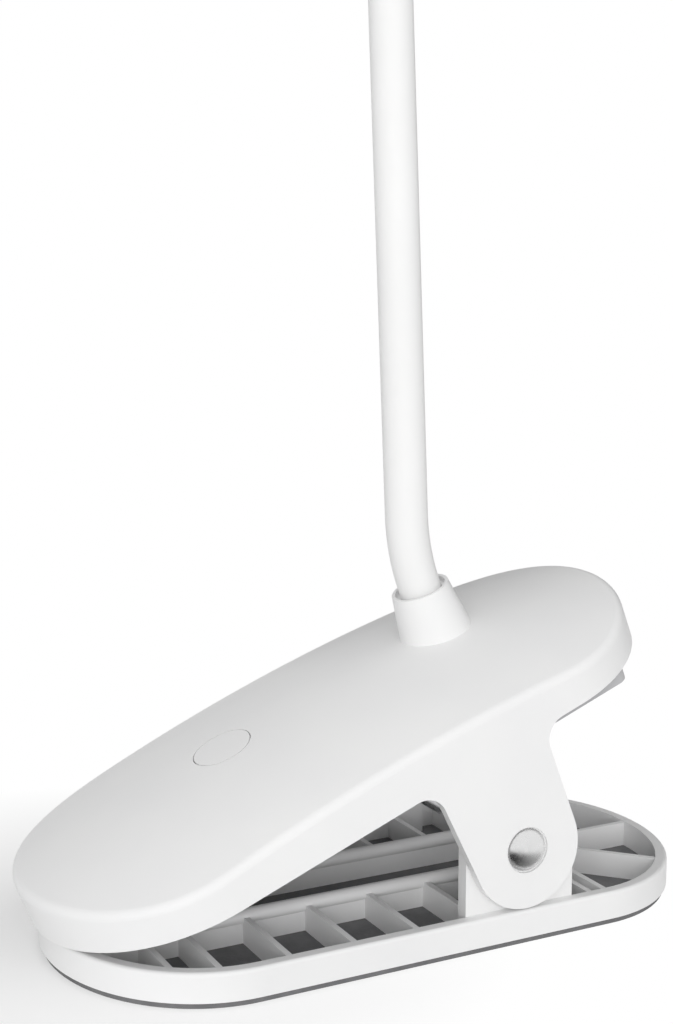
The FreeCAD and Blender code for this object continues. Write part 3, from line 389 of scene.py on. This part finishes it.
def dark_rubber():
    """Dark grey rubber sheet with a pebbled skin."""
    material, tree, shader = surface("dark_rubber", (0.175, 0.175, 0.18), 0.8, Specular_IOR_Level=0.3)
    value = grain(tree, shader, scale=1500, depth=0.0002, strength=0.35)
    vary(tree, value, shader.inputs["Roughness"], low=0.72, high=0.88)
    mottle(tree, shader.inputs["Base Color"], 240, (0.165, 0.165, 0.169), (0.195, 0.195, 0.199))
    return material


def grey_plastic():
    """Light grey moulding of the bottom cover."""
    material, tree, shader = surface("grey_plastic", (0.5, 0.5, 0.51), 0.5)
    value = grain(tree, shader, scale=2200, depth=0.0001, strength=0.25)
    vary(tree, value, shader.inputs["Roughness"], low=0.44, high=0.58)
    mottle(tree, shader.inputs["Base Color"], 80, (0.48, 0.48, 0.49), (0.52, 0.52, 0.53))
    return material


def black_plastic():
    """Dull black moulding of the electronic parts."""
    material, tree, shader = surface("black_plastic", (0.03, 0.03, 0.032), 0.45)
    value = grain(tree, shader, scale=3000, depth=0.0001, strength=0.3)
    vary(tree, value, shader.inputs["Roughness"], low=0.4, high=0.55)
    mottle(tree, shader.inputs["Base Color"], 500, (0.025, 0.025, 0.027), (0.04, 0.04, 0.042))
    return material


def bright_metal(name, colour, roughness, stretch, strength):
    """Bare metal with fine drawn or polished marks."""
    material, tree, shader = surface(name, colour, roughness, Metallic=1.0)
    value = grain(tree, shader, scale=900, depth=0.00004, strength=strength, stretch=stretch)
    vary(tree, value, shader.inputs["Roughness"], *(roughness * share for share in MARK_ROUGHNESS_SHARES))
    mottle(tree, shader.inputs["Base Color"], 150, colour, tuple(DULL_SHARE * c for c in colour))
    return material


def circuit_board(name, mask, trace):
    """Board with lines of copper under its lacquer."""
    material, tree, shader = surface(name, mask, 0.35, Coat_Weight=0.4)
    place = node(tree, "ShaderNodeTexCoord")
    brick = node(tree, "ShaderNodeTexBrick", Mortar=(*trace, 1), Scale=220.0, Mortar_Size=0.035)
    for socket in ("Color1", "Color2"):
        brick.inputs[socket].default_value = (*mask, 1)
    tree.links.new(place.outputs["Object"], brick.inputs["Vector"])
    tree.links.new(brick.outputs["Color"], shader.inputs["Base Color"])
    grain(tree, shader, scale=1200, depth=0.00005, strength=0.2)
    return material


def frosted_window():
    """Milky window that scatters the light of the LEDs."""
    material, tree, shader = surface("frosted_window", (0.86, 0.86, 0.85), 0.6, Subsurface_Weight=0.35)
    shader.inputs["Subsurface Radius"].default_value = (0.002, 0.002, 0.0018)
    value = grain(tree, shader, scale=4000, depth=0.00006, strength=0.3)
    vary(tree, value, shader.inputs["Roughness"], low=0.52, high=0.68)
    mottle(tree, shader.inputs["Base Color"], 120, (0.85, 0.85, 0.84), (0.88, 0.88, 0.87))
    return material


def led_yellow():
    """Phosphor gel over each LED."""
    material, tree, shader = surface("led_yellow", (0.85, 0.7, 0.2), 0.25, Coat_Weight=0.5)
    grain(tree, shader, scale=2500, depth=0.00008, strength=0.2)
    mottle(tree, shader.inputs["Base Color"], 700, (0.82, 0.66, 0.17), (0.88, 0.75, 0.25))
    return material


def make_materials():
    """One material for each slot of the record."""
    return {
        "white_plastic": white_plastic(),
        "white_sleeve": sleeve_rubber(),
        "steel_core": bright_metal("steel_core", (0.62, 0.62, 0.63), 0.28, (1, 1, 8), 0.2),
        "spring_steel": bright_metal("spring_steel", (0.55, 0.55, 0.56), 0.3, (6, 1, 1), 0.2),
        "chrome": bright_metal("chrome", (0.8, 0.8, 0.8), 0.28, (1, 1, 1), 0.03),
        "dark_rubber": dark_rubber(),
        "grey_plastic": grey_plastic(),
        "black_plastic": black_plastic(),
        "board_green": circuit_board("board_green", (0.03, 0.2, 0.09), (0.12, 0.32, 0.14)),
        "board_white": circuit_board("board_white", (0.8, 0.8, 0.8), (0.7, 0.7, 0.68)),
        "battery_foil": bright_metal("battery_foil", (0.7, 0.7, 0.72), 0.4, (1, 3, 1), 0.4),
        "frosted_window": frosted_window(),
        "led_yellow": led_yellow(),
    }


def dress_nodes(materials):
    """Gives every CAD node the material of its slot."""
    for part in frame["record"]["subparts"]:
        obj = frame["nodes"][part["node"]]
        obj.data.materials.clear()
        obj.data.materials.append(materials[part["material_slot"]])


# Stage


def seen_directly(tree):
    """One for what is seen by the camera, in gloss or through glass, zero for light on its way."""
    path = node(tree, "ShaderNodeLightPath")
    total = path.outputs["Is Camera Ray"]
    for name in ("Is Glossy Ray", "Is Transmission Ray"):
        either = node(tree, "ShaderNodeMath")
        either.operation = "MAXIMUM"
        tree.links.new(total, either.inputs[0])
        tree.links.new(path.outputs[name], either.inputs[1])
        total = either.outputs["Value"]
    return total


def share_away(tree, place, near, far, near_share):
    """Share that grows with the distance from a place, up to one at the far distance."""
    here = node(tree, "ShaderNodeTexCoord")
    away = node(tree, "ShaderNodeVectorMath")
    away.operation = "DISTANCE"
    away.inputs[1].default_value = place
    fade = ranged(tree, (near, far), (near_share, 1))
    tree.links.new(here.outputs["Object"], away.inputs[0])
    tree.links.new(away.outputs["Value"], fade.inputs["Value"])
    return fade.outputs["Result"]


def mix_surface(tree, share, first, second):
    """Surface that changes from the first shader to the second as the share grows."""
    mix = node(tree, "ShaderNodeMixShader")
    tree.links.new(share, mix.inputs["Fac"])
    tree.links.new(first.outputs[0], mix.inputs[1])
    tree.links.new(second.outputs[0], mix.inputs[2])
    output = next(n for n in tree.nodes if n.type.startswith("OUTPUT"))
    tree.links.new(mix.outputs["Shader"], output.inputs["Surface"])


def sheet(name, corner, first_side, second_side, material):
    """Flat sheet from a corner along two sides, kept out of the lamp itself."""
    sides = [Vector(side) for side in (first_side, second_side)]
    start = Vector(corner)
    points = [start, start + sides[0], start + sides[0] + sides[1], start + sides[1]]
    obj = mesh_object(name, points, [tuple(range(len(points)))])
    obj.data.materials.append(material)
    return obj


def floor():
    """Wide white floor that takes the lamp's shadow close by and is plain white further off."""
    material, tree, shader = surface("floor_white", (0.96, 0.96, 0.96), 0.9, Specular_IOR_Level=0.0)
    white = node(tree, "ShaderNodeEmission", Color=(1, 1, 1, 1), Strength=1.0)
    share = node(tree, "ShaderNodeMath")
    share.operation = "MULTIPLY"
    fade = share_away(tree, SHADOW_PLACE, FADE_START, FADE_END, FLOOR_WHITE_SHARE)
    tree.links.new(fade, share.inputs[0])
    tree.links.new(seen_directly(tree), share.inputs[1])
    mix_surface(tree, share.outputs["Value"], shader, white)
    width = 2 * FLOOR_HALF
    sheet("floor", (-FLOOR_HALF, -FLOOR_HALF, 0), (width, 0, 0), (0, width, 0), material)


def painted_reflection_cards():
    """Dark sheets that show only as reflections, as painted shade and painted reflection: a fading one on the
    floor by the hinge, painted shade for the floor's shadow in front of the clip, and one far behind, a painted
    dark reflection in the chrome.
    """
    black = surface("painted_reflection_black", (0.02, 0.02, 0.02), 0.9)[0]
    fading, tree, shader = surface("painted_shade_fading", (0.02, 0.02, 0.02), 0.9)
    clear = node(tree, "ShaderNodeBsdfTransparent")
    mix_surface(tree, share_away(tree, PAINTED_SHADE_CENTRE, PAINTED_SHADE_FADE_START, PAINTED_SHADE_FADE_END, 0.0), shader, clear)
    for obj in (sheet("painted_shade_card_floor", *PAINTED_SHADE_CARD, fading), sheet("painted_reflection_card_rear", *PAINTED_REFLECTION_CARD, black)):
        obj.visible_camera = False
        obj.visible_diffuse = False
        obj.visible_transmission = False
        obj.visible_shadow = False


def backdrop_world():
    """White for what is seen directly, and a soft light from above and in front."""
    world = bpy.data.worlds.new("studio")
    bpy.context.scene.world = world
    world.use_nodes = True
    tree = world.node_tree
    seen = tree.nodes["Background"]
    seen.inputs["Color"].default_value = (1, 1, 1, 1)
    seen.inputs["Strength"].default_value = 1.0
    light = node(tree, "ShaderNodeBackground", Color=(1, 1, 1, 1))
    place = node(tree, "ShaderNodeTexCoord")
    towards = node(tree, "ShaderNodeVectorMath")
    towards.operation = "DOT_PRODUCT"
    towards.inputs[1].default_value = LIGHT_FROM
    level = ranged(tree, LIGHT_EDGES, (WORLD_BACK, WORLD_LIGHT))
    tree.links.new(place.outputs["Generated"], towards.inputs[0])
    tree.links.new(towards.outputs["Value"], level.inputs["Value"])
    tree.links.new(level.outputs["Result"], light.inputs["Strength"])
    mix_surface(tree, seen_directly(tree), light, seen)


def front_lamp():
    """Square soft lamp aimed where the camera looks, with no reflection of its own."""
    data = bpy.data.lights.new("front_lamp", "AREA")
    data.size = LAMP_SIZE
    data.energy = LAMP_WATTS
    obj = bpy.data.objects.new("front_lamp", data)
    obj.location = LAMP_PLACE
    obj.rotation_euler = (CAMERA_TARGET - LAMP_PLACE).to_track_quat("-Z", "Y").to_euler()
    obj.visible_glossy = False
    bpy.context.scene.collection.objects.link(obj)


def camera():
    """Camera at the photograph's place and focal length."""
    data = bpy.data.cameras.new("camera")
    data.sensor_width = SENSOR_MM
    data.lens = FOCAL_PX / FRAME_HEIGHT_PX * SENSOR_MM
    data.clip_start = CLIP_NEAR
    data.clip_end = CLIP_FAR
    level = math.cos(CAMERA_ELEVATION)
    across = math.sin(CAMERA_AZIMUTH) * level
    along = -math.cos(CAMERA_AZIMUTH) * level
    back = Vector((across, along, math.sin(CAMERA_ELEVATION)))
    obj = bpy.data.objects.new("camera", data)
    obj.location = CAMERA_TARGET + back * CAMERA_DISTANCE
    obj.rotation_euler = back.to_track_quat("Z", "Y").to_euler()
    bpy.context.scene.collection.objects.link(obj)
    bpy.context.scene.camera = obj


def build():
    """Dresses the frame, adds the neck and spring meshes and sets the stage."""
    bpy.context.scene.view_settings.view_transform = "Standard"
    materials = make_materials()
    dress_nodes(materials)
    neck(materials)
    spring(materials)
    floor()
    painted_reflection_cards()
    backdrop_world()
    front_lamp()
    camera()


build()
